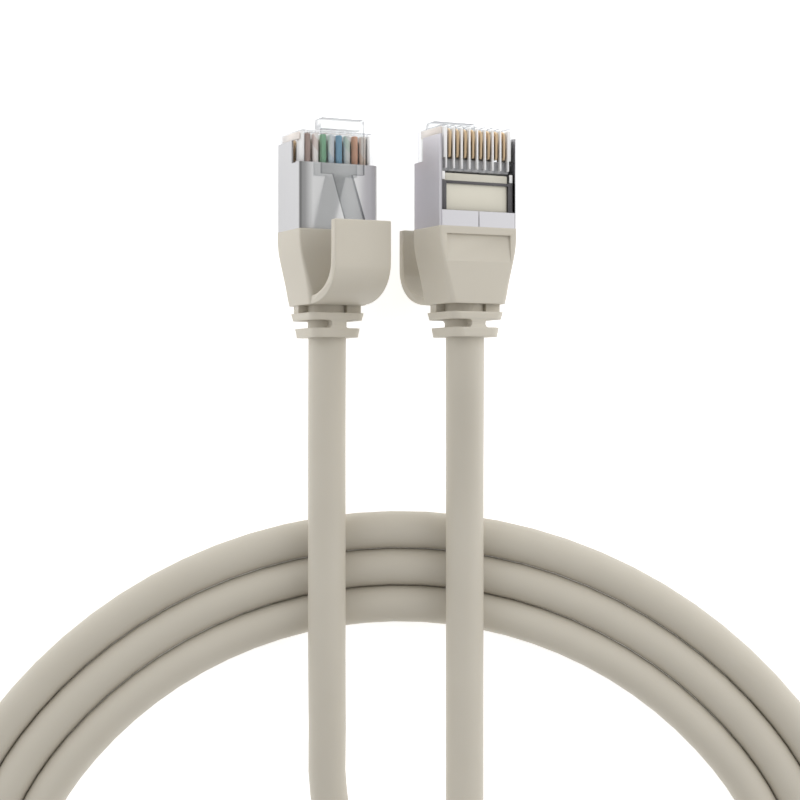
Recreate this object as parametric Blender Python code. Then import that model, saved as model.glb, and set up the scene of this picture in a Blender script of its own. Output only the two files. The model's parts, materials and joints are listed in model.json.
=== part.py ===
"""Shielded ethernet patch cable, coiled flat, with two booted 8-contact plugs.

Plug frame: x across the pins, y from the cable exit to the nose, z to the latch.
Lengths below are millimetres; the scene is built in metres.
"""
import math

import bmesh
import bpy
import numpy as np
from mathutils import Matrix, Vector

MM = 0.001

# ---- driving dimensions (mm, degrees) ----
PLUG_W = 11.7            # shield, across the pins
PLUG_T = 8.0             # shield, contact face to latch face
NOSE_Y = 28.3            # nose, measured from the cable exit
SHIELD_Y0 = 14.85        # where the shield comes out of the boot
SHIELD_BAND_Y = 16.85    # front edge of the band on the contact face
SHIELD_LATCH_Y = 23.85   # front edge on the latch face
SHIELD_SIDE_Y = 27.0     # front edge of the two side walls
SHIELD_STEP_Z = 1.15     # the side walls reach this high past the latch face's edge
SHEET = 0.25             # shield sheet thickness
SEAM = 0.14              # seam in the band
SHEET_GAP = 0.05         # housing to shield, on the two faces
SIDE_GAP = 0.1           # housing to shield, on the narrow sides
PITCH = 1.19             # contact pitch
PINS = 8
SLOT_W = 0.6             # contact slot width
SLOT_Y0 = 22.15          # rear end of the contact slots
SLOT_DEPTH = 2.1
CONTACT_T = 0.34
CONTACT_SINK = 0.25      # contact edge below the housing's face
CONTACT_Y = (24.0, 28.0)
CONTACT_FOOT_Z = -1.75   # underside of the contact's bar
POINT_Y = (24.6, 27.2)   # the two points that reach into the wire
POINT_Z = (-0.65, -0.53, -0.9)   # side, tip and root of the points, from the wire's middle
POINT_GAP = 0.03
WIRE_R = 0.46
WIRE_Z = 2.6
WIRE_END_Y = 27.9
WIRE_SIDES = 10
WIRE_GAP = 0.06
NECK_W = 9.0             # part of the housing inside the boot
NECK_T = 6.2
NECK_Y0 = 10.0
BORE_W = 7.2             # way through the neck for the wires
BORE_Z = (-2.4, 2.2)
WINDOW_RIM = 0.85        # housing left each side of the window in the contact face
WINDOW_Y = (16.95, 20.45)
GUIDE_Y = (15.25, 21.9)  # cream wire guide
GUIDE_Z = (-3.3, 3.1)
GUIDE_GAP = 0.12
BOOT_EDGE = 0.05         # boot mouth past the shield, across the pins
BOOT_END_GAP = 0.1       # boot mouth to shield, along the plug
SOCKET_GAP = 0.12
BOOT_LOW_R = 0.9         # corner radius of the boot's body, at the cable's end
BOOT_TOP_R = 0.25
BOOT_LOW_Y = 4.45        # body of the boot starts here
BOOT_LOW_W = 8.6
BOOT_LOW_T = 8.5
BOOT_MID_Y = (7.6, 10.4, 12.6)
EXIT_W = 6.8             # last collar, at the cable exit
EXIT_T = 7.8
COLLAR_W = 8.0           # first collar, lower edge
COLLAR_T = 8.1
COLLAR_R = 1.6
CORE_WALL = 0.075        # round core of the strain relief, past the cable
SLOT1_Y = (3.35, 4.45)
SLOT2_Y = (1.25, 2.35)
WEB = 1.0                # half width of the web left by the second slot
WEB_X = (1.8, 3.9)       # webs left by the first slot, at two opposite corners
WEB_Z = (1.05, 2.75)
PANEL_W = 9.75           # shallow panel on the contact face of the boot
PANEL_Y = (9.9, 13.75)
PANEL_DEPTH = 0.42
SLEEVE_Y = (6.8, 9.7)    # crimp sleeve inside the boot
SLEEVE_R = (2.5, 2.85)
SLEEVE_GAP = 0.17
HOOD_W = 8.24
HOOD_OUT = 12.05         # outer face, from the plug axis
HOOD_T = 1.45
HOOD_TOP_Y = 15.4
HOOD_HEEL_Y = 4.5
HOOD_GAP = 0.1           # hood foot to boot
HOOD_PIVOT = (5.75, 5.2)     # y, z
# curve of the guard: distance past the heel, share of its rise from the boot
HOOD_CURVE_OUT = ((5.1, 1.0), (4.1, 0.971), (3.1, 0.912), (2.1, 0.805), (1.25, 0.643), (0.6, 0.455),
                  (0.2, 0.26), (0.0, 0.091), (0.0, 0.0))
HOOD_CURVE_IN = ((1.1, 0.0), (1.35, 0.216), (1.7, 0.44), (2.25, 0.648), (3.0, 0.808), (3.9, 0.92),
                 (4.8, 0.981), (5.5, 1.0))
LATCH_W = 6.3
LATCH_OUT = 5.6
LATCH_T = 0.75
LATCH_Y = (22.2, 29.8)
LATCH_ROOT_Z = 2.7
LATCH_GAP = 0.15         # root block to nose
LATCH_CHAMFER = 0.3
TAIL_W = 2.75
TAIL_Y = 14.9            # where the tip ends
TAIL_GAP = 0.45          # tip to the hood's inner face
LATCH_PIVOT = (28.5, 3.2)    # y, z
CORD_D = 5.25            # cable diameter
CORD_GAP = 0.12          # between runs that lie side by side
CORD_END_GAP = 0.3       # cable end to boot
TURN_R = 65.4            # mean turn, top and bottom arcs
TURN_R_SIDE = 45.0       # mean turn, side arcs
TURN_MIX = (46.0, 58.0)  # degrees from the top over which one arc becomes the other
PLUG_TILT = 26.1         # both plugs lie turned about their long axis
AXIS_A = (-10.15, 8.66)
AXIS_A_Z = 7.9
AXIS_B = (8.88, 8.58)    # plug B rests on the edge of its hood
COIL_TOP_Y = -23.65      # mean turn, furthest point toward the plugs
LEAVE = 95.0             # degrees round from the top: run B leaves the outer turn
LAND = 180.0             # degrees round from the top: run A joins the inner turn
LAND_GAP = 0.2           # degrees between the coil's ends and the runs
CLOSE = (10.0, 65.0)     # degrees past LEAVE over which the two turns left close up
# route of each run between its plug and the coil: x, y, level; 0 lies on the
# surface and 1 lies over one turn
ROUTE_A = (
    (-10.2, -4.0, 0.99), (-10.2, -15.0, 1.0), (-10.2, -25.0, 1.0), (-10.2, -35.0, 0.97),
    (-10.2, -46.0, 0.68), (-10.1, -55.5, 0.29), (-7.6, -66.5, 0.03), (0.6, -75.4, 0.0),
    (10.4, -81.2, 0.0), (18.6, -89.0, 0.0), (22.1, -100.0, 0.0), (19.6, -112.0, 0.0),
    (11.6, -120.4, 0.0),
)
LAND_RUN = (5.2, 0.55)   # degrees before LAND and mm inside the inner turn: run A draws near
ROUTE_B = (
    (65.3, -89.0, 0.26), (62.4, -97.5, 0.78), (57.4, -105.6, 1.04), (50.0, -112.4, 1.04),
    (40.3, -116.3, 1.04), (30.0, -116.1, 1.04), (20.6, -112.1, 1.04), (13.4, -104.8, 1.04),
    (9.6, -95.4, 1.04), (9.0, -85.0, 1.04), (9.0, -74.0, 1.04), (9.0, -63.0, 1.04),
    (9.02, -52.0, 1.01), (9.02, -40.0, 1.0), (9.02, -28.0, 1.0), (9.02, -16.0, 1.0),
    (9.0, -9.0, 1.15), (8.95, -2.5, 1.49),
)
SHIFT = (0.635, -23.52, 0.0)  # puts the pair of plugs over the origin

CREAM = (0.72, 0.70, 0.58)
PVC = (0.60, 0.57, 0.50)
STEEL = (0.72, 0.72, 0.75)
CLEAR = (0.86, 0.90, 0.92)
GOLD = (0.80, 0.58, 0.25)
WIRES = {
    1: (0.86, 0.62, 0.46),
    2: (0.85, 0.34, 0.12),
    3: (0.62, 0.82, 0.66),
    4: (0.12, 0.32, 0.66),
    5: (0.62, 0.72, 0.88),
    6: (0.14, 0.52, 0.24),
    7: (0.74, 0.64, 0.58),
    8: (0.36, 0.20, 0.12),
}


def clear_scene():
    for ob in list(bpy.data.objects):
        bpy.data.objects.remove(ob, do_unlink=True)


def material(name, color, metallic=0.0, rough=0.5, alpha=1.0):
    mat = bpy.data.materials.new(name)
    mat.use_nodes = True
    bsdf = mat.node_tree.nodes["Principled BSDF"]
    bsdf.inputs["Base Color"].default_value = (color[0], color[1], color[2], 1.0)
    bsdf.inputs["Metallic"].default_value = metallic
    bsdf.inputs["Roughness"].default_value = rough
    bsdf.inputs["Alpha"].default_value = alpha
    mat.diffuse_color = (color[0], color[1], color[2], 1.0)
    return mat


def mesh_object(name, bm, mat=None):
    bmesh.ops.recalc_face_normals(bm, faces=bm.faces)
    me = bpy.data.meshes.new(name)
    bm.to_mesh(me)
    bm.free()
    ob = bpy.data.objects.new(name, me)
    bpy.context.scene.collection.objects.link(ob)
    if mat:
        me.materials.append(mat)
    return ob


def add_loft(bm, rings, origin=(0.0, 0.0, 0.0)):
    """Closed solid through rings of equal length; points are (x, y, z) in mm."""
    off = Vector(origin)
    rows = []
    for ring in rings:
        rows.append([bm.verts.new((Vector(p) - off) * MM) for p in ring])
    n = len(rings[0])
    for low, high in zip(rows[:-1], rows[1:]):
        for i in range(n):
            j = (i + 1) % n
            bm.faces.new((low[i], low[j], high[j], high[i]))
    bm.faces.new(list(reversed(rows[0])))
    bm.faces.new(rows[-1])


def add_box(bm, x, y, z, origin=(0.0, 0.0, 0.0)):
    ring0 = [(x[0], y[0], z[0]), (x[1], y[0], z[0]), (x[1], y[0], z[1]), (x[0], y[0], z[1])]
    ring1 = [(p[0], y[1], p[2]) for p in ring0]
    add_loft(bm, [ring0, ring1], origin)


def prism_x(points, half_w, origin=(0.0, 0.0, 0.0), bm=None):
    """Outline of (y, z) points swept across x."""
    bm = bm or bmesh.new()
    ring0 = [(-half_w, p[0], p[1]) for p in points]
    ring1 = [(half_w, p[0], p[1]) for p in points]
    add_loft(bm, [ring0, ring1], origin)
    return bm


def prism_y(points, y0, y1, origin=(0.0, 0.0, 0.0), bm=None):
    """Outline of (x, z) points swept along y."""
    bm = bm or bmesh.new()
    ring0 = [(p[0], y0, p[1]) for p in points]
    ring1 = [(p[0], y1, p[1]) for p in points]
    add_loft(bm, [ring0, ring1], origin)
    return bm


def rounded(w, t, r, steps=4):
    """Rounded rectangle in (x, z), w by t."""
    pts = []
    for cx, cz, start in ((1, 1, 0), (-1, 1, 90), (-1, -1, 180), (1, -1, 270)):
        for k in range(steps + 1):
            ang = math.radians(start + 90.0 * k / steps)
            x = cx * (w / 2 - r) + r * math.cos(ang)
            z = cz * (t / 2 - r) + r * math.sin(ang)
            pts.append((x, z))
    return pts


def circle(r, steps):
    pts = []
    for k in range(steps):
        ang = 2 * math.pi * k / steps
        pts.append((r * math.cos(ang), r * math.sin(ang)))
    return pts


def cut(ob, cutter):
    cutter.display_type = "WIRE"
    cutter.hide_render = True
    mod = ob.modifiers.new("cut_" + cutter.name, "BOOLEAN")
    mod.operation = "DIFFERENCE"
    mod.solver = "EXACT"
    mod.object = cutter


def soften(ob, width, segments=2, angle=35.0):
    mod = ob.modifiers.new("edges", "BEVEL")
    mod.width = width * MM
    mod.segments = segments
    mod.limit_method = "ANGLE"
    mod.angle_limit = math.radians(angle)
    mod.use_clamp_overlap = True


def axis_a():
    return (AXIS_A[0], AXIS_A[1], AXIS_A_Z)


def axis_b():
    """Cable exit of plug B, at the height where its hood's edge touches the surface."""
    tilt = math.radians(PLUG_TILT)
    z = HOOD_OUT * math.cos(tilt) + HOOD_W / 2 * math.sin(tilt)
    return (AXIS_B[0], AXIS_B[1], z)


def plug_matrix(axis, turn):
    place = Vector(axis) + Vector(SHIFT)
    return Matrix.Translation(place * MM) @ Matrix.Rotation(math.radians(turn), 4, "Y")


def place(ob, frame, pivot=None):
    local = Vector((0.0, 0.0, 0.0))
    if pivot:
        local = Vector((0.0, pivot[0], pivot[1])) * MM
    ob.matrix_world = frame @ Matrix.Translation(local)


# ---- one plug ----
def pin_x(pin):
    return ((PINS + 1) / 2 - pin) * PITCH


def housing_half():
    """Half width and half thickness of the housing inside the shield."""
    return PLUG_W / 2 - SHEET - SIDE_GAP, PLUG_T / 2 - SHEET - SHEET_GAP


def window_half():
    return PLUG_W / 2 - WINDOW_RIM


def make_housing(tag, frame):
    half_w, half_t = housing_half()
    past = 1.0
    neck = [(-NECK_W / 2, NECK_T / 2), (NECK_W / 2, NECK_T / 2)]
    neck += [(NECK_W / 2, -NECK_T / 2), (-NECK_W / 2, -NECK_T / 2)]
    body = [(-half_w, half_t), (half_w, half_t), (half_w, -half_t), (-half_w, -half_t)]
    rings = []
    rings.append([(p[0], NECK_Y0, p[1]) for p in neck])
    rings.append([(p[0], SHIELD_Y0, p[1]) for p in neck])
    rings.append([(p[0], SHIELD_Y0 + 0.01, p[1]) for p in body])
    rings.append([(p[0], NOSE_Y, p[1]) for p in body])
    bm = bmesh.new()
    add_loft(bm, rings)
    ob = mesh_object("plug_housing_" + tag, bm, material("clear_housing_" + tag, CLEAR, 0, 0.08))
    inner = window_half()
    cutters = []
    bm = bmesh.new()
    add_box(bm, (-inner, inner), (GUIDE_Y[0] - GUIDE_GAP, GUIDE_Y[1] + GUIDE_GAP),
            (GUIDE_Z[0] - GUIDE_GAP, GUIDE_Z[1] + GUIDE_GAP))
    cutters.append(mesh_object("cut_pocket_" + tag, bm))
    bm = bmesh.new()
    add_box(bm, (-BORE_W / 2, BORE_W / 2), (NECK_Y0 - past, GUIDE_Y[0] + past), BORE_Z)
    cutters.append(mesh_object("cut_bore_" + tag, bm))
    bm = bmesh.new()
    add_box(bm, (-inner, inner), WINDOW_Y, (-half_t - past, GUIDE_Z[0] + past / 2))
    cutters.append(mesh_object("cut_window_" + tag, bm))
    bm = bmesh.new()
    for pin in range(1, PINS + 1):
        x = pin_x(pin)
        add_box(bm, (x - SLOT_W / 2, x + SLOT_W / 2), (SLOT_Y0, NOSE_Y + past),
                (-half_t - past, -half_t + SLOT_DEPTH))
    cutters.append(mesh_object("cut_slots_" + tag, bm))
    bm = bmesh.new()
    slit = CONTACT_T / 2 + POINT_GAP + 0.02
    for pin in range(1, PINS + 1):
        x = pin_x(pin)
        add_box(bm, (x - slit, x + slit), (POINT_Y[0] - 0.2, POINT_Y[1] + 0.1),
                (-half_t + SLOT_DEPTH - 0.2, WIRE_Z - WIRE_R))
    cutters.append(mesh_object("cut_slits_" + tag, bm))
    bm = bmesh.new()
    bed = (PINS - 1) * PITCH / 2 + WIRE_R + WIRE_GAP
    add_box(bm, (-bed, bed), (GUIDE_Y[1] - GUIDE_GAP, WIRE_END_Y + 2 * WIRE_GAP),
            (WIRE_Z - WIRE_R - WIRE_GAP, WIRE_Z + WIRE_R + WIRE_GAP))
    cutters.append(mesh_object("cut_wires_" + tag, bm))
    for cutter in cutters:
        place(cutter, frame)
        cut(ob, cutter)
    place(ob, frame)
    return ob


def make_shield(tag, frame):
    w = PLUG_W / 2
    t = PLUG_T / 2
    s = SHEET
    g = SEAM / 2
    outline = [(g, -t), (w, -t), (w, t), (-w, t), (-w, -t), (-g, -t)]
    outline += [(-g, -t + s), (-w + s, -t + s), (-w + s, t - s), (w - s, t - s)]
    outline += [(w - s, -t + s), (g, -t + s)]
    bm = prism_y(outline, SHIELD_Y0, SHIELD_SIDE_Y)
    ob = mesh_object("shield_shell_" + tag, bm, material("nickel_" + tag, STEEL, 1.0, 0.25))
    bm = bmesh.new()
    add_box(bm, (-w + s, w - s), (SHIELD_BAND_Y, NOSE_Y), (-t - s, -t + 2 * s))
    open_face = mesh_object("cut_contact_face_" + tag, bm)
    bm = bmesh.new()
    add_box(bm, (-w - s, w + s), (SHIELD_LATCH_Y, NOSE_Y), (SHIELD_STEP_Z, t + s))
    notch = mesh_object("cut_latch_face_" + tag, bm)
    for cutter in (open_face, notch):
        place(cutter, frame)
        cut(ob, cutter)
    place(ob, frame)
    return ob


def make_guide(tag, frame):
    mid = (GUIDE_Z[0] + GUIDE_Z[1]) / 2
    pts = rounded(2 * window_half() - 2 * GUIDE_GAP, GUIDE_Z[1] - GUIDE_Z[0], 0.25, 2)
    bm = prism_y([(p[0], p[1] + mid) for p in pts], GUIDE_Y[0], GUIDE_Y[1])
    ob = mesh_object("wire_guide_" + tag, bm, material("cream_guide_" + tag, CREAM, 0, 0.5))
    place(ob, frame)
    return ob


def make_contacts(tag, frame):
    """Stamped blades: a bar below the face and two points that reach the wire."""
    made = []
    y0, y1 = CONTACT_Y
    p0, p1 = POINT_Y
    side, tip, root = [WIRE_Z + v for v in POINT_Z]
    top = -housing_half()[1] + CONTACT_SINK
    foot = CONTACT_FOOT_Z
    outline = [(y0, top + 0.1), (y0 + 0.4, top), (y1 - 0.6, top), (y1 - 0.15, top + 0.35)]
    outline += [(y1, top + 0.9), (y1, foot), (p1, foot), (p1, side), (p1 - 0.5, tip)]
    outline += [(p1 - 0.8, root), (p0 + 0.8, root), (p0 + 0.5, tip), (p0, side), (p0, foot)]
    outline += [(y0, foot)]
    for pin in range(1, PINS + 1):
        bm = prism_x(outline, CONTACT_T / 2)
        bmesh.ops.translate(bm, vec=(pin_x(pin) * MM, 0, 0), verts=bm.verts)
        name = "contact_%d_%s" % (pin, tag)
        ob = mesh_object(name, bm, material("gold_%d_%s" % (pin, tag), GOLD, 1.0, 0.25))
        place(ob, frame)
        made.append(ob)
    return made


def make_wires(tag, frame):
    made = []
    slit = CONTACT_T / 2 + POINT_GAP
    groove_y = (POINT_Y[0] - 0.1, WIRE_END_Y + 0.4)
    groove_z = (WIRE_Z - 3 * WIRE_R, WIRE_Z + POINT_Z[1] + POINT_GAP + 0.02)
    for pin in range(1, PINS + 1):
        x = pin_x(pin)
        ring = circle(WIRE_R, WIRE_SIDES)
        bm = prism_y([(x + p[0], WIRE_Z + p[1]) for p in ring], GUIDE_Y[1] + 0.2, WIRE_END_Y)
        name = "wire_%d_%s" % (pin, tag)
        ob = mesh_object(name, bm, material("pair_%d_%s" % (pin, tag), WIRES[pin], 0, 0.45))
        # each contact's two points press into the wire below it
        bm = bmesh.new()
        add_box(bm, (x - slit, x + slit), groove_y, groove_z)
        groove = mesh_object("cut_wire_%d_%s" % (pin, tag), bm)
        place(groove, frame)
        cut(ob, groove)
        place(ob, frame)
        made.append(ob)
    return made


def boot_size(y):
    """Width, thickness and corner radius of the boot at y."""
    top_w = PLUG_W + BOOT_EDGE
    low = BOOT_LOW_W
    ys = [0.0, SLOT2_Y[1], BOOT_LOW_Y, BOOT_MID_Y[0], BOOT_MID_Y[1], BOOT_MID_Y[2],
          SHIELD_Y0 - BOOT_END_GAP]
    ws = [EXIT_W, COLLAR_W, low, 0.67 * low + 0.33 * top_w, 0.24 * low + 0.76 * top_w,
          top_w + BOOT_EDGE, top_w]
    ts = [EXIT_T, COLLAR_T, BOOT_LOW_T, BOOT_LOW_T - 0.1, 0.5 * (BOOT_LOW_T + PLUG_T),
          PLUG_T + 0.15, PLUG_T]
    rs = [COLLAR_R, COLLAR_R, BOOT_LOW_R, 0.5 * BOOT_LOW_R + 0.5 * BOOT_TOP_R,
          0.25 * BOOT_LOW_R + 0.75 * BOOT_TOP_R, BOOT_TOP_R, BOOT_TOP_R]
    return [float(np.interp(y, ys, row)) for row in (ws, ts, rs)]


def relief_1(sign):
    """First slot: open all round but for two webs, one half of it."""
    core = CORD_D / 2 + CORE_WALL
    far = PLUG_W
    lap = 0.25
    a0 = math.acos(WEB_X[0] / core)
    a1 = math.pi + math.asin(WEB_Z[0] / core)
    pts = [(WEB_X[0], WEB_Z[1]), (WEB_X[1], WEB_Z[1]), (WEB_X[1], WEB_Z[0] - lap)]
    pts += [(far, WEB_Z[0] - lap), (far, far), (-far, far), (-far, -WEB_Z[0])]
    arc = [a1 + (a0 - a1) * k / 14 for k in range(15)]
    pts += [(core * math.cos(a), core * math.sin(a)) for a in arc]
    return prism_y([(sign * p[0], sign * p[1]) for p in pts], SLOT1_Y[0], SLOT1_Y[1])


def relief_2(sign):
    """Second slot: open on one of the narrow sides."""
    core = CORD_D / 2 + CORE_WALL
    far = PLUG_W
    a0 = math.acos(WEB / core)
    pts = [(WEB, far), (far, far), (far, -far), (WEB, -far)]
    arc = [-a0 + 2 * a0 * k / 12 for k in range(13)]
    pts += [(core * math.cos(a), core * math.sin(a)) for a in arc]
    return prism_y([(sign * p[0], p[1]) for p in pts], SLOT2_Y[0], SLOT2_Y[1])


def make_boot(tag, frame):
    mouth = SHIELD_Y0 - BOOT_END_GAP
    levels = [0.0, 0.6, SLOT2_Y[0], SLOT2_Y[1], SLOT1_Y[0], BOOT_LOW_Y]
    levels += [5.5, 6.6, 7.6, 8.6, 9.5, 10.4, 11.2, 12.0, 12.8, 13.8, mouth]
    rings = []
    for y in levels:
        w, t, r = boot_size(y)
        rings.append([(p[0], y, p[1]) for p in rounded(w, t, r, 4)])
    bm = bmesh.new()
    add_loft(bm, rings)
    ob = mesh_object("boot_" + tag, bm, material("pvc_boot_" + tag, PVC, 0, 0.5))
    cutters = []
    bm = bmesh.new()
    half_w = NECK_W / 2 + SOCKET_GAP
    half_t = NECK_T / 2 + SOCKET_GAP
    add_box(bm, (-half_w, half_w), (NECK_Y0 - SOCKET_GAP, mouth + 1), (-half_t, half_t))
    cutters.append(mesh_object("cut_socket_" + tag, bm))
    ring = circle(SLEEVE_R[1] + SLEEVE_GAP, 24)
    bm = prism_y(ring, SLEEVE_Y[0] - SLEEVE_GAP, NECK_Y0 + 0.5)
    cutters.append(mesh_object("cut_boot_bore_" + tag, bm))
    for k, sign in enumerate((1, -1)):
        cutters.append(mesh_object("cut_relief_1%d_%s" % (k, tag), relief_1(sign)))
        cutters.append(mesh_object("cut_relief_2%d_%s" % (k, tag), relief_2(sign)))
    # shallow panel, deepest at its top edge
    z_top = -boot_size(PANEL_Y[1])[1] / 2
    z_low = -boot_size(PANEL_Y[0])[1] / 2
    pts = [(PANEL_Y[1], z_top - 1), (PANEL_Y[1], z_top + PANEL_DEPTH), (PANEL_Y[0], z_low - 0.02)]
    pts += [(PANEL_Y[0], z_low - 1)]
    cutters.append(mesh_object("cut_panel_" + tag, prism_x(pts, PANEL_W / 2)))
    for cutter in cutters:
        place(cutter, frame)
        cut(ob, cutter)
    place(ob, frame)
    return ob


def make_sleeve(tag, frame):
    """Crimp sleeve over the cable end, inside the boot."""
    y0, y1 = SLEEVE_Y
    inner = circle(SLEEVE_R[0], 24)
    outer = circle(SLEEVE_R[1], 24)
    bm = bmesh.new()
    rows = []
    for pts, y in ((outer, y0), (outer, y1), (inner, y1), (inner, y0)):
        rows.append([bm.verts.new((p[0] * MM, y * MM, p[1] * MM)) for p in pts])
    for row, after in zip(rows, rows[1:] + rows[:1]):
        for i in range(len(row)):
            j = (i + 1) % len(row)
            bm.faces.new((row[i], row[j], after[j], after[i]))
    ob = mesh_object("crimp_sleeve_" + tag, bm, material("sleeve_metal_" + tag, STEEL, 1.0, 0.35))
    place(ob, frame)
    return ob


def make_hood(tag, frame):
    """J-shaped guard rising from the boot over the latch."""
    inn = HOOD_OUT - HOOD_T
    heel = HOOD_HEEL_Y
    base = BOOT_LOW_T / 2 + HOOD_GAP
    outer = [(HOOD_TOP_Y, HOOD_OUT)]
    outer += [(heel + y, base + f * (HOOD_OUT - base)) for y, f in HOOD_CURVE_OUT]
    inner = [(heel + y, base + f * (inn - base)) for y, f in HOOD_CURVE_IN]
    inner += [(HOOD_TOP_Y, inn)]
    origin = (0.0, HOOD_PIVOT[0], HOOD_PIVOT[1])
    bm = prism_x(outer + inner, HOOD_W / 2, origin)
    ob = mesh_object("hood_" + tag, bm, material("pvc_hood_" + tag, PVC, 0, 0.5))
    place(ob, frame, HOOD_PIVOT)
    return ob


def make_latch(tag, frame):
    """Root block, wide plate and rising tail in one piece."""
    out = LATCH_OUT
    inn = LATCH_OUT - LATCH_T
    y0, y1 = LATCH_Y
    w = LATCH_W / 2
    n = TAIL_W / 2
    edge = LATCH_CHAMFER
    root_y = NOSE_Y + LATCH_GAP
    tip_y = TAIL_Y
    tip_z = HOOD_OUT - HOOD_T - TAIL_GAP
    rise = math.atan2(tip_z - out, y0 - tip_y)
    low_y = tip_y - LATCH_T * math.sin(rise)
    low_z = tip_z - LATCH_T * math.cos(rise)
    origin = Vector((0.0, LATCH_PIVOT[0], LATCH_PIVOT[1]))
    bm = bmesh.new()

    def vert(x, y, z):
        return bm.verts.new((Vector((x, y, z)) - origin) * MM)

    # outline in (y, z) of the wide part, from the rear upper edge round to the rear lower edge
    wide = [(y0, out), (y1 - edge, out), (y1, out - edge), (y1, LATCH_ROOT_Z + edge)]
    wide += [(root_y, LATCH_ROOT_Z), (root_y, inn), (y0, inn)]
    left = [vert(-w, p[0], p[1]) for p in wide]
    right = [vert(w, p[0], p[1]) for p in wide]
    tail = [vert(-n, y0, out), vert(n, y0, out), vert(n, y0, inn), vert(-n, y0, inn)]
    tip = [vert(-n, tip_y, tip_z), vert(n, tip_y, tip_z), vert(n, low_y, low_z)]
    tip.append(vert(-n, low_y, low_z))
    bm.faces.new(list(reversed(left)))
    bm.faces.new(right)
    for i in range(1, len(wide) - 2):
        bm.faces.new((left[i], left[i + 1], right[i + 1], right[i]))
    bm.faces.new((left[1], left[0], tail[0], tail[1], right[0], right[1]))
    bm.faces.new((left[-2], left[-1], tail[3], tail[2], right[-1], right[-2]))
    bm.faces.new((left[0], tail[0], tail[3], left[-1]))
    bm.faces.new((tail[1], right[0], right[-1], tail[2]))
    for i in range(4):
        j = (i + 1) % 4
        bm.faces.new((tail[i], tail[j], tip[j], tip[i]))
    bm.faces.new(tip)
    ob = mesh_object("latch_" + tag, bm, material("clear_latch_" + tag, CLEAR, 0, 0.08))
    place(ob, frame, LATCH_PIVOT)
    return ob


# ---- cable ----
def ease(t):
    t = min(max(t, 0.0), 1.0)
    return t * t * (3 - 2 * t)


def level_z(level):
    """Height of a run's middle: 0 on the surface, 1 over one turn."""
    return CORD_D / 2 + level * (CORD_D + CORD_GAP)


def turn_radius(deg):
    """Radius of curvature of the mean turn where its outward normal is deg from the top."""
    d = abs(deg) % 180.0
    d = min(d, 180.0 - d)
    k = ease((d - TURN_MIX[0]) / (TURN_MIX[1] - TURN_MIX[0]))
    return TURN_R * (1 - k) + TURN_R_SIDE * k


def mean_turn():
    """Points of the mean turn for every degree, clockwise from the top."""
    pts = [(0.0, COIL_TOP_Y)]
    for deg in range(360):
        mid = math.radians(deg + 0.5)
        step = turn_radius(deg + 0.5) * math.radians(1.0)
        pts.append((pts[-1][0] + step * math.cos(mid), pts[-1][1] - step * math.sin(mid)))
    return pts


TURN = mean_turn()


def on_turn(deg, offset):
    base = deg % 360.0
    i = int(base)
    f = base - i
    x = TURN[i][0] * (1 - f) + TURN[i + 1][0] * f
    y = TURN[i][1] * (1 - f) + TURN[i + 1][1] * f
    ang = math.radians(deg)
    return (x + offset * math.sin(ang), y + offset * math.cos(ang))


def through(points, step=5.5):
    """Smooth curve through the route's points, with a point about every step mm."""
    pts = [Vector(p) for p in points]
    pts = [2 * pts[0] - pts[1]] + pts + [2 * pts[-1] - pts[-2]]
    out = []
    for i in range(1, len(pts) - 2):
        a, b, c, e = pts[i - 1:i + 3]
        n = max(1, int(round((c - b).length / step)))
        for k in range(n):
            t = k / n
            out.append(0.5 * (2 * b + (c - a) * t + (2 * a - 5 * b + 4 * c - e) * t ** 2
                              + (3 * b - a - 3 * c + e) * t ** 3))
    out.append(pts[-2])
    return out


def run_a_points():
    """Run of plug A: over the turns, down into the middle, round to the inner turn."""
    x, y, z = axis_a()
    route = [(x, y - CORD_END_GAP, z)]
    route += [(p[0], p[1], level_z(p[2])) for p in ROUTE_A]
    near = on_turn(LAND - LAND_RUN[0], -CORD_D - LAND_RUN[1])
    land = on_turn(LAND + LAND_GAP / 2, -CORD_D)
    route += [(near[0], near[1], level_z(0)), (land[0] + CORD_END_GAP, land[1], level_z(0))]
    return through(route)


def run_b_points():
    """Run of plug B: off the outer turn, up over the turns, round and back to the plug."""
    x, y, z = axis_b()
    route = []
    for deg, level in ((LEAVE + 0.4, 0.0), (LEAVE + 3.5, 0.01)):
        leave = on_turn(deg, CORD_D + CORD_GAP)
        route.append((leave[0], leave[1], level_z(level)))
    route += [(p[0], p[1], level_z(p[2])) for p in ROUTE_B]
    return through(route + [(x, y - 4.0, z), (x, y - CORD_END_GAP, z)])


def make_tube(name, points, mat):
    cu = bpy.data.curves.new(name, "CURVE")
    cu.dimensions = "3D"
    cu.bevel_depth = CORD_D / 2 * MM
    cu.bevel_resolution = 3
    cu.use_fill_caps = True
    sp = cu.splines.new("POLY")
    sp.points.add(len(points) - 1)
    for p, co in zip(sp.points, points):
        v = (Vector(co) + Vector(SHIFT)) * MM
        p.co = (v.x, v.y, v.z, 1.0)
    cu.materials.append(mat)
    ob = bpy.data.objects.new(name, cu)
    bpy.context.scene.collection.objects.link(ob)
    return ob


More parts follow.
